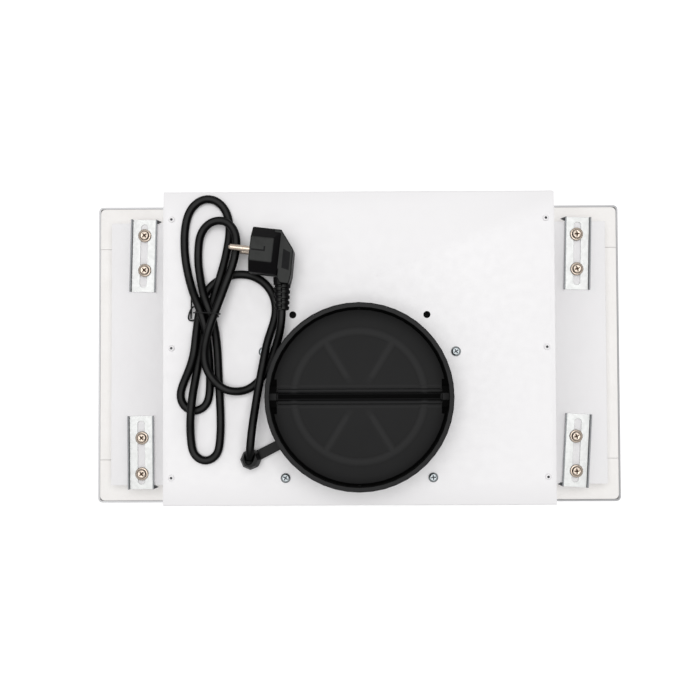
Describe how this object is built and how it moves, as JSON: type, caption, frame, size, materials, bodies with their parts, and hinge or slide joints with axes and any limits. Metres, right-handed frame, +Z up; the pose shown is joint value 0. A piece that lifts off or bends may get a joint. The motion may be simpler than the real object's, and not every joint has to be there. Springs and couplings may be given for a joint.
{
  "type": "built-in extractor hood",
  "caption": "White built-in kitchen extractor hood lying face down, with a round duct collar and damper flaps, sliding clamp brackets and a tied-up mains lead on top.",
  "frame": {"origin": "middle of the visible underside, which lies at Z = 0", "axes": "+X along the hood, -Y towards its front with the switches, +Z up out of the duct collar"},
  "size_m": [0.525, 0.298, 0.232],
  "materials": {
    "white_paint": "smooth white powder coat",
    "cream_foam": "pale matt foam",
    "zinc": "bright zinc plating",
    "nickel": "warm nickel plating",
    "black_plastic": "satin black",
    "dark_grey_plastic": "fine-grained dark grey",
    "black_rubber": "satin black",
    "aluminium": "plain",
    "white_plastic": "gloss white",
    "lens": "frosted"
  },
  "bodies": {
    "hood": {"bottom_frame": "white_paint", "housing_cover": "white_paint", "side_panel_left": "white_paint", "side_panel_right": "white_paint", "lamp_left": "white_paint", "lamp_right": "white_paint", "seal_front": "cream_foam", "seal_rear": "cream_foam", "seal_left": "cream_foam", "seal_right": "cream_foam", "panel_rivet_1": "zinc", "panel_rivet_2": "zinc", "panel_rivet_3": "zinc", "panel_rivet_4": "zinc", "panel_rivet_5": "zinc", "panel_rivet_6": "zinc", "blower_screw_1": "zinc", "blower_screw_2": "zinc", "blower_screw_3": "zinc", "blower_screw_4": "zinc", "blower_casing": "zinc", "inlet_ring": "zinc", "motor_plate": "zinc", "clamp_screw_rear_left_inner": "nickel", "clamp_screw_rear_left_outer": "nickel", "clamp_screw_rear_right_inner": "nickel", "clamp_screw_rear_right_outer": "nickel", "clamp_screw_front_left_inner": "nickel", "clamp_screw_front_left_outer": "nickel", "clamp_screw_front_right_inner": "nickel", "clamp_screw_front_right_outer": "nickel", "plug_pin_upper": "nickel", "plug_pin_lower": "nickel", "duct_collar": "black_plastic", "terminal_box": "dark_grey_plastic", "switch_block": "dark_grey_plastic", "cord_bushing": "black_rubber", "mains_cord": "black_rubber", "cord_tie": "black_rubber", "plug_body": "black_rubber", "motor": "aluminium", "run_capacitor": "aluminium", "switch_panel": "white_plastic", "lamp_lens_left": "lens", "lamp_lens_right": "lens"},
    "flap_rear": {"damper_flap_rear": "dark_grey_plastic"},
    "flap_front": {"damper_flap_front": "dark_grey_plastic"},
    "impeller": {"impeller": "black_plastic", "motor_shaft": "zinc"},
    "filter": {"filter_frame": "aluminium", "filter_mesh": "aluminium"},
    "clamp_rear_left": {"clamp_bracket_rear_left": "zinc"},
    "clamp_rear_right": {"clamp_bracket_rear_right": "zinc"},
    "clamp_front_left": {"clamp_bracket_front_left": "zinc"},
    "clamp_front_right": {"clamp_bracket_front_right": "zinc"},
    "button_1": {"push_button_1": "white_plastic"},
    "button_2": {"push_button_2": "white_plastic"},
    "button_3": {"push_button_3": "white_plastic"},
    "button_4": {"push_button_4": "white_plastic"}
  },
  "joints": [
    {"name": "flap_rear_hinge", "type": "hinge", "parent": "hood", "child": "flap_rear", "pos_m": [0, -0.0355, 0.2071], "axis": [1, 0, 0], "range_deg": [0, 80]},
    {"name": "flap_front_hinge", "type": "hinge", "parent": "hood", "child": "flap_front", "pos_m": [0, -0.0445, 0.2071], "axis": [-1, 0, 0], "range_deg": [0, 80]},
    {"name": "impeller_spin", "type": "hinge", "parent": "hood", "child": "impeller", "pos_m": [0, 0.02, 0.098], "axis": [1, 0, 0], "continuous": true},
    {"name": "filter_hinge", "type": "hinge", "parent": "hood", "child": "filter", "pos_m": [0, 0.1177, 0.001], "axis": [1, 0, 0], "range_deg": [0, 80]},
    {"name": "clamp_rear_left_slide", "type": "slide", "parent": "hood", "child": "clamp_rear_left", "axis": [0.0244, 0.9997, 0], "range_m": [-0.0075, 0.013]},
    {"name": "clamp_rear_right_slide", "type": "slide", "parent": "hood", "child": "clamp_rear_right", "axis": [0.0262, 0.9997, 0], "range_m": [-0.0085, 0.012]},
    {"name": "clamp_front_left_slide", "type": "slide", "parent": "hood", "child": "clamp_front_left", "axis": [0.0105, -0.9999, 0], "range_m": [-0.0065, 0.013]},
    {"name": "clamp_front_right_slide", "type": "slide", "parent": "hood", "child": "clamp_front_right", "axis": [-0.0593, -0.9982, 0], "range_m": [-0.007, 0.013]},
    {"name": "button_1_press", "type": "slide", "parent": "hood", "child": "button_1", "axis": [0, 0, 1], "range_m": [0, 0.0025], "stiffness_N_per_m": 400, "springref_m": -0.0005},
    {"name": "button_2_press", "type": "slide", "parent": "hood", "child": "button_2", "axis": [0, 0, 1], "range_m": [0, 0.0025], "stiffness_N_per_m": 400, "springref_m": -0.0005},
    {"name": "button_3_press", "type": "slide", "parent": "hood", "child": "button_3", "axis": [0, 0, 1], "range_m": [0, 0.0025], "stiffness_N_per_m": 400, "springref_m": -0.0005},
    {"name": "button_4_press", "type": "slide", "parent": "hood", "child": "button_4", "axis": [0, 0, 1], "range_m": [0, 0.0025], "stiffness_N_per_m": 400, "springref_m": -0.0005}
  ]
}
